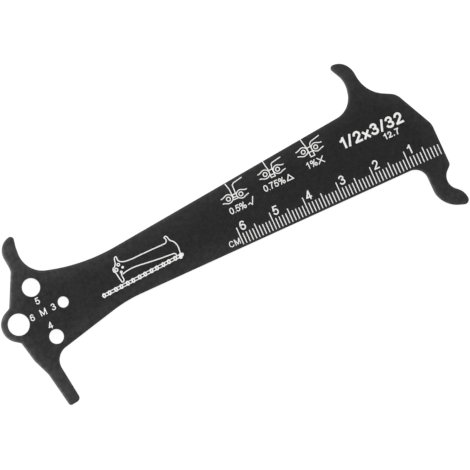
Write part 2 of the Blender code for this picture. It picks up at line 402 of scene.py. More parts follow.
def flat_triangles(rings, middle):
    """Triangles of a flat: Blender's, kept where their middles are inside the rings.

    The numbers they hold count through the rings and then the middle places. Three
    ring points on one straight side can make a triangle of no height, which goes too:
    height over longest side is the cross product of two sides over the longest squared.
    """
    edges, first = [], 0
    for ring_path in rings:
        number = np.arange(len(ring_path))
        edges.append(np.stack([number, np.roll(number, -1)], axis=-1) + first)
        first += len(ring_path)
    places = np.concatenate([*rings, middle])
    edges = np.concatenate(edges).tolist()
    cut = delaunay_2d_cdt([Vector(p) for p in places], edges, [], 1, WELD, True)
    source = np.array([made_from[0] for made_from in cut[3]])
    triangles = source[np.array(cut[2])]
    sides = places[triangles] - places[np.roll(triangles, 1, axis=1)]
    cross = sides[:, 0, 0] * sides[:, 1, 1] - sides[:, 0, 1] * sides[:, 1, 0]
    tall = np.abs(cross) > FLATTEST * (sides ** 2).sum(-1).max(1)
    return triangles[tall & inside(places[triangles].mean(1), rings)]


print("places 3 mm apart on the metal:", len(flat_grid([outline], 3.0)))

# %% [markdown]
# ## Slim forms
# Horns and tooth catch more glare than the middle, so the coat gets a painted sheen
# there that makes slim forms a little greyer. A brush could paint that by eye. Here it
# is measured instead: a soft disc is laid over each place, and the share of it that
# hangs over the edge says how slim the metal is there.

# %% Slimness
# the soft disc's reach, the grid's margin round the outline and its cell, in mm
SLIM_REACH = 3.0
SLIM_MARGIN = 4 * SLIM_REACH
SLIM_CELL = 0.5


def slimness(places):
    """Share of a soft disc round each place that holds no metal.

    The outline is filled into a grid of cells. The grid is blurred with a bell curve
    by multiplying the two spectra, and each place reads the four cells round it.
    """
    low = outline.min(0) - SLIM_MARGIN
    count = np.ceil((np.ptp(outline, axis=0) + 2 * SLIM_MARGIN) / SLIM_CELL).astype(int)
    cells = np.stack(np.meshgrid(*(np.arange(n) for n in count), indexing="ij"), axis=-1)
    metal = inside(low + cells.reshape(-1, 2) * SLIM_CELL, [outline]).reshape(count)
    waves = [np.fft.fftfreq(n, SLIM_CELL) for n in count]
    power = waves[0][:, None] ** 2 + waves[1][None, :] ** 2
    bell = np.exp(-2 * (np.pi * SLIM_REACH) ** 2 * power)
    empty = 1 - np.fft.ifft2(np.fft.fft2(metal) * bell).real
    spot = (places - low) / SLIM_CELL
    i, j = np.floor(spot).astype(int).T
    u, v = (spot - np.floor(spot)).T
    return ((1 - u) * (1 - v) * empty[i, j] + u * (1 - v) * empty[i + 1, j]
            + (1 - u) * v * empty[i, j + 1] + u * v * empty[i + 1, j + 1])


SPOTS = {"beam": (-10.0, 0.0), "left horn": (-54.3, 16.0), "right horn": (48.6, 22.0)}
print("slimness:", dict(zip(SPOTS, slimness(np.array(list(SPOTS.values()))).round(2))))

# %% [markdown]
# ## One closed skin
# The real plate is solid, and a solid is drawn by its skin. The walls and the flats
# could stay apart and only look joined, but a closed skin can be measured, printed
# and lit from any side. So each wall's two end rings are also the rims of the flats,
# by number and not by nearness. The coat narrows each hole a little.

# %% Plate maker
HOLE_COAT = 0.14
HOLE_STEPS = 96
GRID_SPACING = 0.9
# insets of the crown's rows, the cell that keeps them apart, and the grid's gap from them
CROWN_ROWS = (0.25, 0.5, 0.75, 1.05)
ROW_CELL = 0.2
ROW_GAP = 0.4


def flat_middle(loops, front):
    """Places between the rims of a flat: few on the back, and on the front the crown's."""
    if not front:
        middle = flat_grid(loops, 2 * GRID_SPACING)
        return np.column_stack([middle, np.zeros(len(middle))])
    grid = flat_grid(loops, GRID_SPACING)
    grid = grid[distance_to(grid, [outline]) > CROWN_WIDTH + ROW_GAP]
    middle = np.concatenate([crown_rows(loops, CROWN_ROWS, ROW_CELL), grid])
    return np.column_stack([middle, COAT_TOP - crown(distance_to(middle, [outline]))])


def coated_plate(finish):
    """The whole plate: an edge wall round the outline and each hole, and two flats.

    Two attributes go with it for the coat. "rim" is 1 at a wall and 0 where its roll
    ends, and "slim" is the slimness of the metal round each place.
    """
    walls = [(edge_path, OUTER_ROLL)]
    walls += [(circle_path(h[:2], h[2] - HOLE_COAT, HOLE_STEPS, clockwise=True), HOLE_ROLL)
              for h in BOLT_HOLES]
    places, faces, rim = [], [], []
    rims = {0: [], -1: []}
    count = 0
    for path, roll in walls:
        inset, height = edge_profile(*roll)
        grid = carry(path, inward(path), inset, height)
        along, across = grid.shape[:2]
        faces += (grid_faces(along, across) + count).tolist()
        for end, found in rims.items():
            found.append((count + np.arange(along) * across + end % across, grid[:, end, :2]))
        places.append(grid.reshape(-1, 3))
        rim.append(np.tile(np.clip(1 - inset / inset.max(), 0, 1), along))
        count += along * across
    for end, found in rims.items():
        loops = [flat for _, flat in found]
        middle = flat_middle(loops, front=end == -1)
        numbers = np.concatenate([*(n for n, _ in found), count + np.arange(len(middle))])
        triangles = numbers[flat_triangles(loops, middle[:, :2])]
        faces += (triangles if end == -1 else triangles[:, ::-1]).tolist()
        places.append(middle)
        rim.append(np.zeros(len(middle)))
        count += len(middle)
    places = np.concatenate(places)
    piece = make_piece("gauge_plate_coated", places, faces, finish)
    for name, values in (("rim", np.concatenate(rim)), ("slim", slimness(places[:, :2]))):
        attribute = piece.data.attributes.new(name, "FLOAT", "POINT")
        attribute.data.foreach_set("value", values.astype(np.float32))
    return piece


print("hole diameters under the coat in mm:", (BOLT_HOLES[:, 2] - HOLE_COAT).round(2))

# %% [markdown]
# ## Black coat
# Close up the matt coat isn't one black: the powder melts into a fine orange-peel
# grain, and the pigment clouds a little over centimetres. It turns greyer over the
# rolled edge, where it lies thinner and where a painted highlight goes too. It also
# turns greyer on slim forms such as the horns and the tooth, where a painted sheen
# stands for the glare they catch. Noise in Object coordinates gives grain and clouds
# at their real size, and the two attributes stored on the mesh say where the coat
# greys. A texture painted by hand would be fixed to one unwrapping.

# %% Node helpers


def new_material(name):
    """Material made of nodes: itself, its node tree and its Principled shader."""
    material = bpy.data.materials.new(name)
    material.use_nodes = True
    return material, material.node_tree, material.node_tree.nodes["Principled BSDF"]


def feed(tree, node, values):
    """Fill a node's inputs: another node's output is linked, anything else is set."""
    for name, value in values.items():
        if isinstance(value, bpy.types.NodeSocket):
            tree.links.new(value, node.inputs[name])
        else:
            node.inputs[name].default_value = value


def add_node(tree, kind, values):
    """New node of a kind, with its inputs filled."""
    node = tree.nodes.new(kind)
    feed(tree, node, values)
    return node


def grain(tree, coords, size, detail):
    """Noise whose blotches are about size metres across: its scale is 1 / size."""
    values = {"Vector": coords, "Scale": 1.0 / size, "Detail": detail}
    return add_node(tree, "ShaderNodeTexNoise", values).outputs["Fac"]


def stored(tree, name):
    """A value kept on the mesh's points."""
    node = tree.nodes.new("ShaderNodeAttribute")
    node.attribute_name = name
    return node.outputs["Fac"]


def distance_from(tree, coords, spot, length):
    """Distance from a spot over a length, both in mm, so 0 at the spot and 1 that far off."""
    apart = add_node(tree, "ShaderNodeVectorMath", {0: coords, 1: np.array(spot) * MM})
    apart.operation = "DISTANCE"
    values = {"Value": apart.outputs["Value"], "From Max": length * MM}
    return add_node(tree, "ShaderNodeMapRange", values).outputs["Result"]


def ramp(tree, value, stops):
    """Colour ramp: each stop is a place from 0 to 1 and a grey or a colour."""
    node = add_node(tree, "ShaderNodeValToRGB", {"Fac": value})
    node.color_ramp.elements[0].position = stops[0][0]
    node.color_ramp.elements[1].position = stops[-1][0]
    for stop in stops[1:-1]:
        node.color_ramp.elements.new(stop[0])
    for element, (_, colour) in zip(node.color_ramp.elements, stops):
        shade = (colour,) * 3 if isinstance(colour, float) else colour
        element.color = (*shade, 1.0)
    return node.outputs["Color"]


def blend_colours(tree, kind, share, first, second):
    """Mix of two colours, of the given kind, by a share."""
    node = tree.nodes.new("ShaderNodeMix")
    node.data_type = "RGBA"
    node.blend_type = kind
    enabled = [k for k, socket in enumerate(node.inputs) if socket.enabled]
    feed(tree, node, dict(zip(enabled, (share, first, second))))
    return next(socket for socket in node.outputs if socket.enabled)


def bump(tree, height, distance, strength):
    """Bump from a height: the distance is the height's full size in metres."""
    values = {"Height": height, "Distance": distance, "Strength": strength}
    return add_node(tree, "ShaderNodeBump", values).outputs["Normal"]


print("node helpers: grain, stored, distance_from, ramp, blend_colours and bump")

# %% [markdown]
# The helpers are put together from small to large. The finest grain sets the black
# itself, the roughness and the bump, and clouds dim it over centimetres. The two stored
# values mix in grey: a painted sheen on slim forms, and a thinner coat with a painted
# highlight on the rolled edge. Patches of a millimetre break up whatever is there.
# A painted sheen comes last: a slow fade over the whole length makes the tool a little
# paler about its largest hole, where the light falls on it more, than at its head. The
# coat is rough, so a rolled edge shines softly and over its whole width.

# %% Black coat material
# about how wide the coat's blotches are, in metres
FINE_GRAIN = 0.00035
PATCH = 0.0012
CLOUD = 0.009
# painted sheen, palest at the spot and darker over the length: share of it, and brightness
SHEEN_SPOT = (-64.0, 1.5, PLATE_TOP)
SHEEN_LENGTH = 130.0
SHEEN_FADE = [(0.0, 1.0), (0.12, 0.87), (0.2, 0.7), (0.35, 0.68), (0.6, 0.565), (0.8, 0.495), (1.0, 0.53)]


def black_coat():
    """Matt black powder coat: grain, clouding, patches, painted sheen on slim forms, and a thin coat with a
    painted highlight on the rolled edge.

    The whole colour is multiplied by a painted sheen that fades with distance from its spot.
    """
    material, tree, shader = new_material("black_coat")
    coords = tree.nodes.new("ShaderNodeTexCoord").outputs["Object"]
    fine = grain(tree, coords, FINE_GRAIN, 3.0)
    speckle = ramp(tree, fine, [(0.3, (0.0148, 0.0148, 0.0151)), (0.7, (0.0325, 0.0325, 0.033))])
    clouding = ramp(tree, grain(tree, coords, CLOUD, 2.0), [(0.3, 0.86), (0.7, 1.0)])
    body = blend_colours(tree, "MULTIPLY", 1.0, speckle, clouding)
    # painted sheen: slim forms such as the horns and the tooth catch more glare, so they are mixed towards
    # grey
    slim = ramp(tree, stored(tree, "slim"),
                [(0.04, 0.0), (0.22, 0.185), (0.37, 0.28), (0.5, 0.49), (0.65, 0.63)])
    with_slim_sheen = blend_colours(tree, "MIX", slim, body, (0.1, 0.1, 0.101, 1.0))
    # the rolled edge is mixed towards grey, partly for the thinner coat there and partly as a painted edge
    # highlight
    thin = ramp(tree, stored(tree, "rim"), [(0.0, 0.0), (0.4, 0.3), (1.0, 0.35)])
    with_thin_rim_and_highlight = blend_colours(tree, "MIX", thin, with_slim_sheen, (0.108, 0.108, 0.109, 1.0))
    patching = ramp(tree, grain(tree, coords, PATCH, 2.0), [(0.32, 0.55), (0.68, 1.0)])
    patched = blend_colours(tree, "MULTIPLY", 1.0, with_thin_rim_and_highlight, patching)
    # painted sheen: the colour fades from its palest, about the largest hole, towards the head
    painted_sheen_fade = ramp(tree, distance_from(tree, coords, SHEEN_SPOT, SHEEN_LENGTH), SHEEN_FADE)
    feed(tree, shader, {
        "Base Color": blend_colours(tree, "MULTIPLY", 1.0, patched, painted_sheen_fade),
        "Roughness": ramp(tree, fine, [(0.25, 0.74), (0.75, 0.62)]),
        "Metallic": 0.0,
        "Specular IOR Level": 0.2,
        "Normal": bump(tree, fine, 0.00004, 0.6),
    })
    return material


coat = black_coat()
print("black coat:", len(coat.node_tree.nodes), "nodes")

# %% [markdown]
# The finished plate stands in for the solid one of the frame. It could lie over that
# one like a shell, but two skins so close would flicker. So it takes the solid's
# place, fills the same space and rides on the same body.

# %% Make the plate
plate = coated_plate(coat)
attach(plate, "root")
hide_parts("gauge_plate")

# %% [markdown]
# ## White ink
# The marks are pad printed: a soft pad presses a film of white ink a few hundredths
# of a millimetre thick onto the coat. A decal image would be the quick way, but a
# film with its own thickness stays sharp at any zoom and catches light at its edge.
# The ink is almost white, a little mottled where it lies thinner over the grain.

# %% White ink material
MOTTLE = 0.0005
PORE = 0.00016


def white_ink():
    """Pad-printed white: faint mottling, thin places and a satin surface."""
    material, tree, shader = new_material("white_print")
    coords = tree.nodes.new("ShaderNodeTexCoord").outputs["Object"]
    mottle = grain(tree, coords, MOTTLE, 4.0)
    pores = grain(tree, coords, PORE, 2.0)
    film = ramp(tree, mottle, [(0.3, (0.9, 0.9, 0.892)), (0.65, (0.955, 0.955, 0.95))])
    thin = ramp(tree, pores, [(0.2, 0.84), (0.36, 1.0)])
    feed(tree, shader, {
        "Base Color": blend_colours(tree, "MULTIPLY", 1.0, film, thin),
        "Roughness": ramp(tree, mottle, [(0.3, 0.6), (0.7, 0.45)]),
        "Specular IOR Level": 0.3,
        "Normal": bump(tree, pores, 0.00001, 0.4),
    })
    return material


ink = white_ink()
print("white ink:", len(ink.node_tree.nodes), "nodes")

# %% [markdown]
# ## Strokes of ink
# Every mark is made of strokes of even width, as if drawn with a pen. Bevelled curve
# objects could draw them, but here a low hump with soft shoulders is carried along
# each path, which keeps its width in corners. Ends are cut square, half a width
# beyond the path's last point, so two strokes that meet at a corner fill it. Strokes
# that cross lie a micrometre or two apart in height, because two faces at one height
# would flicker.

# %% Stroke maker
INK_TOP = PLATE_TOP - 0.0005
INK_FOOT = COAT_TOP - 0.01
# width of a stroke's soft shoulder, and how far it falls
INK_SHOULDER = 0.03
SHOULDER_DROP = 0.006
LEVEL_STEP = 0.0015
# least divisor of a stroke's mitre, which cuts the points of its sharpest corners
MITRE_LEAST = 0.4
PEN = 0.26


def stroke(path, width=PEN, closed=False, level=0):
    """Ribbon of ink along a path: (places, faces).

    Six section corners (offset to the left, height) are set out at each path point,
    along the mitred left normal. An open path is made half a width longer at each end.
    """
    path = np.array(path, float)
    if not closed:
        ends = unit(np.array([path[0] - path[1], path[-1] - path[-2]]))
        path[[0, -1]] += ends * width / 2
    top = INK_TOP - level * LEVEL_STEP
    half = width / 2
    shoulder = min(INK_SHOULDER, width / 5)
    offset = np.array([-half, -half, -half + shoulder, half - shoulder, half, half])
    height = np.array([INK_FOOT, top - SHOULDER_DROP, top, top, top - SHOULDER_DROP, INK_FOOT])
    places = carry(path, inward(path, closed, MITRE_LEAST), offset, height).reshape(-1, 3)
    corner = np.arange(len(offset))
    faces = grid_faces(len(path), len(offset), closed, tube=True).tolist()
    if not closed:
        faces += [corner.tolist(), (len(places) - 1 - corner).tolist()]
    return places, faces


print("a straight stroke has", len(stroke([(0, 0), (1, 0)])[1]), "faces")

# %% [markdown]
# A few marks are round spots or rings, and some strokes run over the crowned edge.
# With points only at its ends, a stroke would lie on the crown like a ruler on a
# ball. So it is cut into short steps, and every place of the print is then lowered
# by the crown beneath it. A Shrinkwrap modifier would do the same with less control
# over the gap.

# %% Spots and steps
PRINT_STEP = 0.25
RING_STEPS = 24


def dot(centre, radius, level=0, steps=28):
    """Round spot of ink: three rings of points, closed by a face above and below."""
    top = INK_TOP - level * LEVEL_STEP
    radii = np.array([radius, radius, radius - min(INK_SHOULDER, radius / 3)])
    height = np.array([INK_FOOT, top - SHOULDER_DROP, top])
    places = carry(np.array([centre]), circle_path((0, 0), 2.0, steps), radii, height).reshape(-1, 3)
    foot = np.arange(steps) * 3
    return places, grid_faces(steps, 3).tolist() + [foot[::-1].tolist(), (foot + 2).tolist()]


def ring(centre, diameter, pen, level):
    """Stroke along a circle."""
    return stroke(circle_path(centre, diameter, RING_STEPS), pen, closed=True, level=level)


print("a mark of 4 mm is cut into", len(in_steps([(0, 0), (4, 0)], PRINT_STEP)) - 1, "steps")

# %% [markdown]
# The print is one film, so each group of marks becomes one piece. Drawn curves, such
# as a link plate's side, are given by a few places that the pen passes through. The
# pen's path between them could be a curve object, but as an array it can be shifted,
# cut and counted like the rest.

# %% Printing and smooth paths
# faces of the ink that meet at a steeper angle than this, in degrees, are shaded apart
SHARP_FROM = 40


def printed(name, marks):
    """One piece of print from a list of (places, faces), numbered on end to end.

    Every place is lowered by the crown at its distance from the outline.
    """
    counts = np.cumsum([0] + [len(places) for places, _ in marks])
    places = np.concatenate([places for places, _ in marks])
    places[:, 2] -= crown(distance_to(places[:, :2], [outline]))
    faces = [[c + start for c in face] for start, (_, some) in zip(counts, marks) for face in some]
    piece = make_piece(name, places, faces, ink)
    piece.data.set_sharp_from_angle(angle=np.radians(SHARP_FROM))
    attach(piece, "root")


def through(points, steps=8):
    """Smooth path through points, one cubic curve for each span.

    Between two points the path is a cubic in t that leaves and arrives parallel to the
    chords of their neighbours. All spans and all t are worked out on one grid.
    """
    p = np.asarray(points, float)
    p = np.concatenate([[2 * p[0] - p[1]], p, [2 * p[-1] - p[-2]]])
    t = np.linspace(0, 1, steps, endpoint=False)[None, :, None]
    a, b, c, d = (p[k:len(p) - 3 + k, None, :] for k in range(4))
    spans = 0.5 * (2 * b + (c - a) * t + (2 * a - 5 * b + 4 * c - d) * t ** 2
                   + (3 * b - a - 3 * c + d) * t ** 3)
    return np.concatenate([spans.reshape(-1, 2), p[-2:-1]])


print("a smooth path through 3 places has", len(through([(0, 0), (1, 1), (2, 0)])), "points")

# %% [markdown]
# ## Ruler
# The scale edge measures in centimetres from the nose, so the first millimetre lies
# at the right. Each fifth mark is 1 mm longer than the rest and each tenth one 2 mm.
# The soft pad that prints them has pulled them up to a quarter of a millimetre out of
# place. An Array modifier could repeat one mark, but the lengths and the pull come out
# of one rule when the marks are numbered.

# %% Ruler marks
RULER_ZERO = 64.135
RULER_FOOT = -6.92
RULER_MARKS = 60
SHORT_MARK = 2.9
# how far the pad has pulled the marks to the left at most, and which mark is true again
PAD_PULL = 0.264
TRUE_AGAIN = 50


def mark_place(number):
    """Where mark k lies: zero - k, less the pull times 4 t (1 - t), with t = k / the true mark."""
    t = number / TRUE_AGAIN
    return RULER_ZERO - number - PAD_PULL * 4 * t * (1 - t)


def ruler_marks():
    """Mark k's length is that of a short one, plus 1 at each fifth, plus 1 at a tenth.

    The path's ends lie half a pen inside it.
    """
    number = np.arange(1, RULER_MARKS + 1)
    length = SHORT_MARK + (number % 5 == 0) + (number % 10 == 0)
    x = mark_place(number)
    foot = np.full(len(x), RULER_FOOT + PEN / 2)
    head = RULER_FOOT + length - PEN / 2
    ends = np.stack([np.stack([x, foot], axis=-1), np.stack([x, head], axis=-1)], axis=1)
    return [stroke(in_steps(pair, PRINT_STEP), level=k % 2) for k, pair in enumerate(ends)]


scale_marks = ruler_marks()
print(len(scale_marks), "marks from x", round(mark_place(1), 2), "to", round(mark_place(RULER_MARKS), 2))

# %% [markdown]
# ## Figures
# Printed figures are plain upright ones of even weight. Blender's Text object could
# give them, but its own letter shapes differ from these, and no other font comes
# with the scene. So each figure is drawn as strokes in a box one unit high, from
# straight lines and parts of ellipses, and sized as it is placed.

# %% Figure shapes


def bend(x, y, rx, ry, start, end, steps=16):
    """Part of an ellipse round (x, y), from one angle to another in degrees."""
    angle = np.radians(np.linspace(start, end, steps))
    return np.stack([x + rx * np.cos(angle), y + ry * np.sin(angle)], axis=-1)


def join(*parts):
    """One path from several, end to end."""
    return np.concatenate([np.asarray(part, float) for part in parts])


# Width of each figure's box, and its strokes
FIGURES = {
    "0": (0.62, [bend(0.31, 0.5, 0.31, 0.5, 0, 360, 33)[:-1]]),
    "1": (0.40, [[(0.34, 0.0), (0.34, 1.0)], [(0.04, 0.74), (0.20, 0.83), (0.32, 0.97)]]),
    "2": (0.62, [join(bend(0.31, 0.70, 0.29, 0.30, 165, -30), [(0.03, 0.02)]),
                 [(0.02, 0.0), (0.62, 0.0)]]),
    "3": (0.62, [bend(0.30, 0.765, 0.26, 0.235, 160, -90), bend(0.30, 0.265, 0.32, 0.265, 90, -160)]),
    "4": (0.66, [[(0.66, 0.25), (0.0, 0.25)], [(0.0, 0.25), (0.46, 1.0)], [(0.48, 0.0), (0.48, 1.0)]]),
    "5": (0.62, [[(0.57, 1.0), (0.14, 1.0)], [(0.14, 1.0), (0.06, 0.50)],
                 bend(0.30, 0.32, 0.32, 0.32, 142, -155)]),
    "6": (0.62, [join(bend(0.33, 0.76, 0.27, 0.24, 25, 90)[:-1], bend(0.33, 0.40, 0.33, 0.60, 90, 180)[:-1],
                      bend(0.315, 0.30, 0.305, 0.30, 180, 520, 32)[1:])]),
    "7": (0.62, [[(0.0, 1.0), (0.62, 1.0)], bend(0.92, 0.0, 0.70, 1.05, 116, 180)]),
    "%": (1.06, [bend(0.20, 0.77, 0.20, 0.23, 0, 360, 25)[:-1], bend(0.86, 0.23, 0.20, 0.23, 0, 360, 25)[:-1],
                 [(0.80, 1.0), (0.26, 0.0)]]),
    "C": (0.84, [bend(0.45, 0.5, 0.45, 0.5, 40, 320, 30)]),
    "M": (0.98, [[(0.0, 0.0), (0.0, 1.0)], [(0.98, 0.0), (0.98, 1.0)],
                 [(0.02, 0.98), (0.49, 0.04)], [(0.96, 0.98), (0.49, 0.04)]]),
    "x": (0.52, [[(0.0, 0.0), (0.52, 0.62)], [(0.52, 0.0), (0.0, 0.62)]]),
    "/": (0.34, [[(0.0, 0.0), (0.34, 1.0)]]),
}
ROUND_FIGURES = {("0", 0), ("%", 0), ("%", 1)}
print("figures:", " ".join(FIGURES))

# %% [markdown]
# A figure is scaled to its height less one pen width, because half a pen lies outside
# the path on each side. Scaling the finished figure would scale its pen as well, and
# small figures would look thin beside large ones.

# %% Placing figures


def figure(sign, centre, height, pen=PEN, squeeze=1.0):
    """One figure, centred on a place: unit strokes times the height less a pen width.

    The squeeze narrows the figure without changing its pen.
    """
    box, paths = FIGURES[sign]
    size = height - pen
    wide = size * squeeze
    marks = []
    for k, path in enumerate(paths):
        path = np.asarray(path, float)
        place = np.asarray(centre) + (path - (box / 2, 0.5)) * (wide, size)
        marks.append(stroke(place, pen, closed=(sign, k) in ROUND_FIGURES, level=k))
    return marks


def row_of(signs, height, pen=PEN, squeeze=1.0):
    """Several figures: each is (sign, x, y) with its own measured centre."""
    return [mark for sign, x, y in signs for mark in figure(sign, (x, y), height, pen, squeeze)]


print("a 4 is made of", len(figure("4", (0, 0), 2.8)), "strokes")

# %% [markdown]
# Each centimetre has its figure, a little to the right of its mark, and CM stands at
# the left end. Each could be given a centre of its own, but marks and figures were
# pulled by one pad, so a figure's place follows from its mark's.

# %% Ruler print
# height of the figures, their pen, and how far they are squeezed
RULER_TYPE = (2.53, 0.36, 0.92)
UNIT_TYPE = (1.7, 0.235, 0.9)
FIGURE_AFTER_MARK = 1.77
ruler_figures = [(str(cm), mark_place(10 * cm) + FIGURE_AFTER_MARK, -2.12) for cm in range(1, 7)]
unit_figures = [("C", 1.34, -5.56), ("M", 3.09, -5.56)]
printed("ruler_print",
        scale_marks + row_of(ruler_figures, *RULER_TYPE) + row_of(unit_figures, *UNIT_TYPE))

# %% [markdown]
# ## Bolt sizes
# Beside each hole of the bolt gauge stands its thread size, round a single M for
# metric. They could be cut into the metal, but on this tool they are printed like
# the rest, so they are the same figures with a finer pen, each at its own centre.

# %% Bolt print
BOLT_TYPE = (1.85, 0.25, 0.94)
bolt_figures = [("5", -52.78, 2.26), ("M", -52.56, -1.13), ("3", -49.5, -0.96),
                ("6", -55.9, -1.3), ("4", -52.3, -5.2)]
printed("bolt_size_print", row_of(bolt_figures, *BOLT_TYPE))

# %% [markdown]
# ## Wear marks
# Three small drawings show how deep the wear tooth drops between two rollers of the
# chain: not past the links at half a percent, to their middle at three quarters, and
# right through at one percent. Each is drawn round the middle of its two rollers.
# The link plates are smooth curves through a few measured points, and the rollers
# are small rings.

# %% Wear drawings
ROLLER_WIDTH = 1.08
ROLLERS_AT = ((-1.84, -0.03), (1.82, -0.11))
UPPER_BAR = [(-0.5, 0.53), (0.58, 0.62)]
LOWER_BAR = [(-0.6, -0.77), (0.55, -0.77)]
LEFT_LINK = [(-3.68, 0.65), (-3.12, 0.75), (-2.66, 0.93), (-2.20, 1.13), (-1.70, 1.20), (-1.20, 1.01),
             (-0.72, 0.57), (-0.60, -0.05), (-0.70, -0.58), (-1.25, -1.00), (-1.94, -1.20),
             (-2.42, -1.11), (-2.94, -0.87), (-3.35, -0.70), (-3.68, -0.67)]
RIGHT_LINK = [(3.72, 0.55), (3.40, 0.54), (2.97, 0.65), (2.50, 0.88), (1.97, 1.05), (1.40, 0.96),
              (0.80, 0.54), (0.62, -0.05), (0.76, -0.60), (1.20, -1.05), (1.90, -1.30),
              (2.45, -1.20), (2.97, -0.98), (3.45, -0.87), (3.74, -0.81)]
# the middle of the two rollers, the working side of the tooth, and its back
WEAR_DRAWINGS = [
    ((7.48, 5.90), [(-1.03, 4.10), (-0.58, 2.34), (-0.5, 0.75), (-0.42, -0.2)],
     [(3.70, 3.92), (1.20, 3.46), (0.66, 3.02), (0.56, 0.9), (0.62, -0.2)]),
    ((19.26, 7.86), [(-1.05, 3.58), (-0.86, 2.22), (-0.6, 1.0), (-0.62, -1.48)],
     [(3.74, 2.60), (1.22, 2.16), (0.78, 1.84), (0.53, 0.75), (0.56, -1.48)]),
    ((31.13, 9.08), [(-1.18, 3.38), (-0.87, 1.84), (-0.56, 0.6), (-0.42, -2.08)],
     [(3.76, 2.40), (1.20, 1.80), (0.72, 1.38), (0.58, 0.75), (0.7, -2.02)]),
]


def wear_mark(centre, tooth, back):
    """Two rollers, the link plates round them, the tooth between them and its foot.

    Every place is the middle of the two rollers plus the place in the drawing. The
    foot joins the ends of the tooth's side and back.
    """
    centre = np.asarray(centre)
    marks = [ring(centre + roller, ROLLER_WIDTH, PEN, 2) for roller in ROLLERS_AT]
    links = ((through(LEFT_LINK), 0), (through(RIGHT_LINK), 1), (UPPER_BAR, 3), (LOWER_BAR, 3))
    marks += [stroke(centre + path, level=level) for path, level in links]
    marks += [stroke(in_steps(centre + side, PRINT_STEP), level=level)
              for side, level in ((tooth, 4), (back, 5))]
    return marks + [stroke(centre + [tooth[-1], back[-1]], level=6)]


wear = [mark for drawing in WEAR_DRAWINGS for mark in wear_mark(*drawing)]
print("wear drawings:", len(wear), "strokes")

# %% [markdown]
# Under each drawing stands its share of wear and a sign: a tick for a good chain, a
# triangle for one to watch, and a cross for one to change. The signs could be kept
# with the figures, but each comes once only, so its strokes are set down in place.

# %% Wear figures
WEAR_TYPE = (1.85, 0.255, 0.93)
POINT_RADIUS = 0.13
wear_figures = [("0", 5.12, 2.60), ("5", 6.92, 2.66), ("%", 8.47, 2.68),
                ("0", 16.03, 4.36), ("7", 17.84, 4.42), ("5", 19.17, 4.41), ("%", 20.82, 4.42),
                ("1", 28.94, 5.18), ("%", 30.68, 5.19)]
wear_points = [(6.02, 1.84), (16.98, 3.54)]
# the strokes of the tick, the triangle and the cross
SIGNS = [
    [[(10.08, 2.33), (10.52, 2.58), (10.98, 1.92)], [(10.98, 1.92), (11.88, 3.83)]],
    [[(22.25, 3.74), (24.02, 3.73)], [(24.02, 3.73), (23.10, 5.22)], [(23.10, 5.22), (22.25, 3.74)]],
    [[(31.90, 4.36), (33.56, 5.98)], [(31.92, 6.00), (33.55, 4.34)]],
]
wear += row_of(wear_figures, *WEAR_TYPE)
wear += [dot(point, POINT_RADIUS) for point in wear_points]
wear += [stroke(path, level=k) for sign in SIGNS for k, path in enumerate(sign)]
printed("wear_mark_print", wear)

# %% [markdown]
# ## Sketch of the gauge in use
# A small drawing shows the gauge lying on a chain. Its outline is a few smooth
# curves, with rings for the holes. The outline above could be scaled down for it, but
# the drawing is freer than the tool itself, so it has places of its own.

# %% Gauge sketch
SKETCH_PEN = 0.29
TOOTH_SIDE = [(-29.84, -2.45), (-30.10, -0.97), (-30.35, 0.52)]
SKETCH_CURVES = [
    # lobe, neck and left horn
    [(-30.35, 0.52), (-30.62, 0.77), (-30.72, 1.14), (-30.64, 1.50), (-30.42, 1.79), (-30.02, 1.93),
     (-29.68, 2.31), (-29.42, 2.70), (-29.30, 3.20), (-29.22, 3.66), (-29.02, 4.14), (-28.66, 4.38),
     (-28.44, 4.20), (-28.44, 3.74), (-28.44, 3.30), (-28.26, 2.94), (-27.98, 2.68), (-27.52, 2.42),
     (-26.87, 2.20), (-25.03, 2.02), (-22.86, 2.05)],
    # upper edge and right horn
    [(-22.86, 2.05), (-19.20, 2.09), (-15.40, 2.06), (-14.80, 2.12), (-14.45, 2.40), (-14.30, 2.75),
     (-14.34, 3.20), (-14.54, 3.58)],
    # the horn's tip, brow and nose
    [(-14.55, 3.60), (-14.30, 3.80), (-13.92, 3.74), (-13.68, 3.36), (-13.57, 2.86), (-13.42, 2.43),
     (-13.04, 1.98), (-12.69, 1.68), (-12.35, 1.12), (-12.15, 0.50), (-12.05, -0.15), (-12.09, -0.76),
     (-12.15, -1.32), (-12.21, -1.90)],
    # lower edge
    [(-28.66, -0.66), (-27.17, -0.36), (-25.40, -0.25), (-23.50, -0.39), (-21.65, -0.62),
     (-19.80, -0.85), (-17.94, -1.05), (-16.05, -1.20), (-14.16, -1.34), (-13.66, -1.44),
     (-13.42, -1.78), (-13.46, -2.30)],
    # inner side of the tooth
    [(-28.95, -0.30), (-29.10, -0.75), (-29.12, -1.30), (-29.05, -1.91), (-29.16, -2.40),
     (-29.52, -2.68), (-29.84, -2.45)],
]
# the three larger holes, as centre, diameter, pen and level
SKETCH_RINGS = [((-29.88, 1.05), 0.84, 0.32, 3), ((-28.80, 2.10), 0.70, 0.28, 2),
                ((-28.86, -0.02), 0.50, 0.27, 6)]
sketch = [stroke(TOOTH_SIDE, SKETCH_PEN)]
sketch += [stroke(through(curve), SKETCH_PEN, level=1 + k) for k, curve in enumerate(SKETCH_CURVES)]
sketch += [ring(*values) for values in SKETCH_RINGS] + [dot((-28.00, 1.00), 0.35, level=2)]
print("gauge sketch:", len(sketch), "strokes and spots")

# %% [markdown]
# The chain under it has fourteen rollers on a straight line, long and short gaps by
# turns, as a real chain's outer and inner links look from the side. They could be
# drawn one by one, but a rule keeps the rhythm even: each roller is a ring, and each
# link a pair of bars.

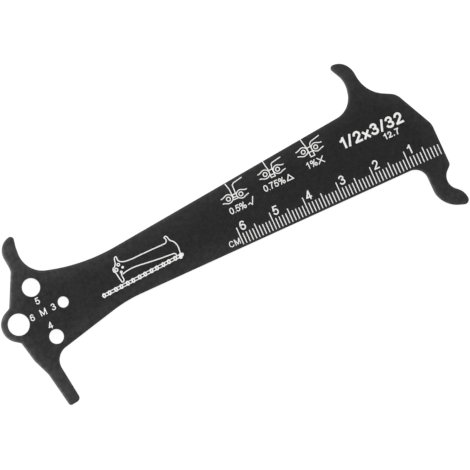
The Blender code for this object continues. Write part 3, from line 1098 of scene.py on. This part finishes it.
# %% Chain sketch
CHAIN_START = np.array((-35.72, -3.92))
CHAIN_END = np.array((-12.40, -2.62))
ROLLERS = 14
ROLLER_RING = np.array((0.66, 0.93))
ROLLER_PEN = 0.38
SHORT_LINK = 1.66
LONG_LINK = 1.95
BAR_SPREAD = 0.36
BAR_PEN = 0.24
# two small rings at the last roller, where the hook holds the chain
HOOKED_RINGS = ((-12.02, -2.52), (-12.56, -2.98))
HOOKED_WIDTH = 0.66
HOOKED_PEN = 0.36


def chain_sketch():
    """Rollers on a line, short and long links by turns, each link two thin bars.

    A roller's distance along the line is the running sum of the links before it,
    stretched so that the last roller meets the line's end. A roller is an ellipse
    with its short axis along the line, drawn as a ring that its pen nearly fills.
    """
    link = np.where(np.arange(ROLLERS - 1) % 2 == 0, SHORT_LINK, LONG_LINK)
    run = np.concatenate([[0.0], np.cumsum(link)])
    line = CHAIN_END - CHAIN_START
    place = CHAIN_START + (run / run[-1])[:, None] * line
    ahead = unit(line)
    across = np.array((-ahead[1], ahead[0]))
    roller = circle_path((0.0, 0.0), 1.0, RING_STEPS) * ROLLER_RING @ np.stack([ahead, across])
    marks = [stroke(p + roller, ROLLER_PEN, closed=True, level=k % 2) for k, p in enumerate(place)]
    for k, ends in enumerate(zip(place[:-1], place[1:])):
        marks += [stroke(ends + spread * across, BAR_PEN, level=3 + k % 2)
                  for spread in (-BAR_SPREAD, BAR_SPREAD)]
    return marks + [ring(spot, HOOKED_WIDTH, HOOKED_PEN, 6 + k) for k, spot in enumerate(HOOKED_RINGS)]


chain = chain_sketch()
print("chain sketch:", ROLLERS, "rollers,", len(chain) - ROLLERS - len(HOOKED_RINGS), "bars")
printed("gauge_sketch_print", sketch + chain)

# %% [markdown]
# ## Chain size
# The widest part of the face carries a line of large plain figures: the chain's
# pitch and inner width in inches, and under it the pitch in millimetres. A thicker
# look could come from a second set of shapes, but the same unit figures do with a
# heavier pen. Here they are set in a row by their widths, as in a line of type.

# %% Chain size print
# a decimal point's radius, its middle and its room, each as a share of the pen
POINT_SIZE = 0.62
POINT_MIDDLE = 0.6
POINT_ROOM = 1.2
# text, left end, foot, height, pen and gap
SIZE_LINES = [("1/2x3/32", 39.3, 5.2, 3.2, 0.58, 0.42), ("12.7", 50.8, 2.85, 1.7, 0.3, 0.32)]


def line_of_figures(text, left, foot, height, pen, gap):
    """Figures set side by side from the left: each box, the pen and a gap wide."""
    marks, x = [], left
    for sign in text:
        if sign == ".":
            marks.append(dot((x + pen * POINT_MIDDLE, foot + pen * POINT_MIDDLE), pen * POINT_SIZE))
            x += pen * POINT_ROOM + gap
            continue
        box = FIGURES[sign][0] * (height - pen) + pen
        marks += figure(sign, (x + box / 2, foot + height / 2), height, pen)
        x += box + gap
    print(text, "ends at x", round(x - gap, 2))
    return marks


printed("chain_size_print", [mark for line in SIZE_LINES for mark in line_of_figures(*line)])

# %% [markdown]
# ## Table
# The photograph is a product shot: the tool lies on white, seen from straight above.
# Strong lamps could make that white, but would bleach the tool too. So the floor is
# white to the camera and to reflections by a glow of its own, and plain paper to all
# other light. It keeps a little shading, where the tool's shadow shows.

# %% Floor
# half the floor's width and how far it lies below the plate, in mm
FLOOR_HALF = 4000.0
FLOOR_DROP = 0.02
PAPER = (0.8, 0.8, 0.8, 1.0)
SHADED_PAPER = (0.17, 0.17, 0.17, 1.0)
PAPER_GLOW = 0.93


def split_by_ray(tree, plain, seen):
    """One surface for light and another for the eye and for reflections.

    The second one's share is the largest of three ray values, so it is 1 for camera,
    glossy and transmission rays and 0 for the rest.
    """
    rays = tree.nodes.new("ShaderNodeLightPath").outputs
    share = rays["Is Camera Ray"]
    for name in ("Is Glossy Ray", "Is Transmission Ray"):
        larger = add_node(tree, "ShaderNodeMath", {0: share, 1: rays[name]})
        larger.operation = "MAXIMUM"
        share = larger.outputs[0]
    choice = {"Fac": share, 1: plain.outputs[0], 2: seen.outputs[0]}
    return add_node(tree, "ShaderNodeMixShader", choice).outputs[0]


def white_floor():
    """White paper: plain diffuse for light, mostly its own white to the eye."""
    material, tree, shader = new_material("white_paper")
    tree.nodes.remove(shader)
    plain = add_node(tree, "ShaderNodeBsdfDiffuse", {"Color": PAPER})
    shaded = add_node(tree, "ShaderNodeBsdfDiffuse", {"Color": SHADED_PAPER})
    glow = add_node(tree, "ShaderNodeEmission", {"Strength": PAPER_GLOW})
    seen = add_node(tree, "ShaderNodeAddShader", {0: shaded.outputs[0], 1: glow.outputs[0]})
    feed(tree, tree.nodes["Material Output"], {"Surface": split_by_ray(tree, plain, seen)})
    return material


floor_corners = np.array([(-1, -1, 0), (1, -1, 0), (1, 1, 0), (-1, 1, 0)]) * FLOOR_HALF
floor = make_piece("floor", floor_corners - (0, 0, FLOOR_DROP), [(0, 1, 2, 3)], white_floor())
print("floor:", 2 * FLOOR_HALF * MM, "m across")

# %% [markdown]
# ## Sky
# The world behind the floor is pale in the same way. A studio picture could light
# the tool instead, but its shapes would show in the coat. What this sky gives as
# light is less than half of white, and even, which only fills the shadows.

# %% World
SKY_LIGHT = 0.4
SKY_WHITE = (1.0, 1.0, 1.0, 1.0)
BACKDROP = (0.8, 0.8, 0.8, 1.0)
world = bpy.data.worlds.new("studio")
bpy.context.scene.world = world
world.use_nodes = True
sky_tree = world.node_tree
sky = sky_tree.nodes["Background"]
feed(sky_tree, sky, {"Color": SKY_WHITE, "Strength": SKY_LIGHT})
backdrop = add_node(sky_tree, "ShaderNodeBackground", {"Color": BACKDROP, "Strength": 1.0})
feed(sky_tree, sky_tree.nodes["World Output"], {"Surface": split_by_ray(sky_tree, sky, backdrop)})
print("sky light:", SKY_LIGHT)

# %% [markdown]
# ## Lamps
# The photograph has soft light from above, more of it at the left end, and a bright
# line on every rolled edge that faces left. One lamp low at the left could give all
# three, but it would bleach the ink beside it. So a large soft box hangs above, a
# small weak one stands near the left end, and a low one far off grazes the table,
# where only the rolled edges face it.

# %% Lamps
IMAGE_TURN = np.radians(-24.5)
LOOK_AT = np.array((3.23, -3.67, PLATE_TOP)) * MM


def softbox(name, side, up, distance, size, power):
    """Square lamp aimed at the tool.

    Its direction has an angle round the image, in degrees from the image's right
    and anticlockwise, and a height above the table.
    """
    turn = np.radians(side) + IMAGE_TURN
    rise = np.radians(up)
    way = np.array((np.cos(turn) * np.cos(rise), np.sin(turn) * np.cos(rise), np.sin(rise)))
    lamp = bpy.data.lights.new(name, "AREA")
    lamp.shape = "SQUARE"
    lamp.size = size
    lamp.energy = power
    holder = bpy.data.objects.new(name, lamp)
    bpy.context.scene.collection.objects.link(holder)
    holder.location = LOOK_AT + way * distance
    holder.rotation_euler = Vector(way).to_track_quat("Z", "Y").to_euler()
    holder.visible_camera = False
    level = power * np.sin(rise) / (np.pi * distance) ** 2
    print(f"{name}: {level:.2f} of white on the middle of the face")


softbox("left_softbox", side=170, up=26.6, distance=0.168, size=0.05, power=0.045)
softbox("edge_softbox", side=205, up=2.5, distance=0.6, size=0.04, power=5.6)
softbox("top_softbox", side=85, up=60, distance=0.9, size=0.6, power=3.8)

# %% [markdown]
# ## Camera
# The tool lies turned in the picture, seen from straight above through a long lens.
# The tool could be turned under the camera, but its place is that of the frame, so
# the camera turns instead. Its height follows from the picture's width and the lens.

# %% Camera
VIEW_WIDTH = 0.12703
LENS = 200.0
SENSOR = 36.0
camera = bpy.data.cameras.new("camera")
camera.lens = LENS
camera.sensor_width = SENSOR
camera.clip_start = 0.05
camera.clip_end = 20.0
eye = bpy.data.objects.new("camera", camera)
bpy.context.scene.collection.objects.link(eye)
eye.location = LOOK_AT + np.array((0.0, 0.0, VIEW_WIDTH * LENS / SENSOR))
eye.rotation_euler = (0.0, 0.0, IMAGE_TURN)
bpy.context.scene.camera = eye
bpy.context.scene.view_settings.view_transform = "Standard"
print("camera height in mm:", round(eye.location.z / MM, 1))
